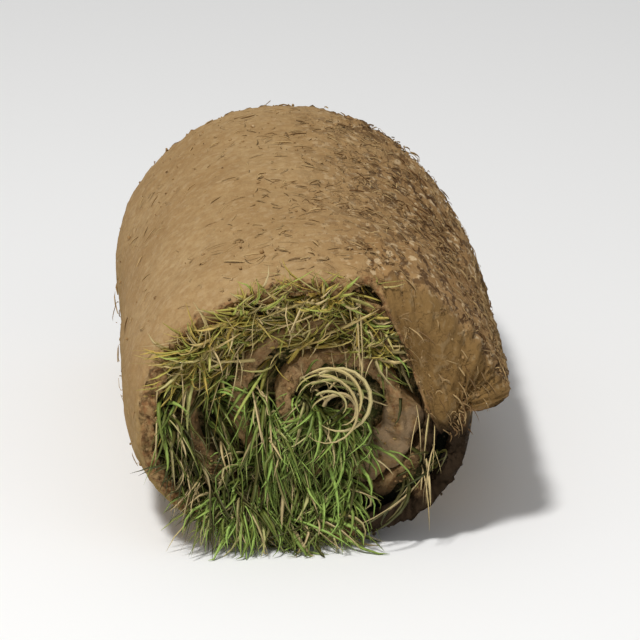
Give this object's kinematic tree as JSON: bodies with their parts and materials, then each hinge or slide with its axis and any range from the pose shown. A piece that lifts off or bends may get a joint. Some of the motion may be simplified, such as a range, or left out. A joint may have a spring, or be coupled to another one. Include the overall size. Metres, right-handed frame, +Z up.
{
  "type": "roll of turf",
  "caption": "Strip of sod rolled up with its grass inside: a mat of soil and roots outside, grass between the turns at the ends, a free lip along the side and a flat, sagged foot.",
  "frame": {"origin": "on the ground under the middle of the roll", "axes": "+Z up, Y along the roll's axis, the end that the picture shows towards -Y, and the free lip of the strip towards +X"},
  "size_m": [0.3034, 0.4, 0.2248],
  "materials": {
    "soil": "matte",
    "grass": "matte"
  },
  "bodies": {
    "root": {"turf_roll": "soil"}
  },
  "joints": []
}
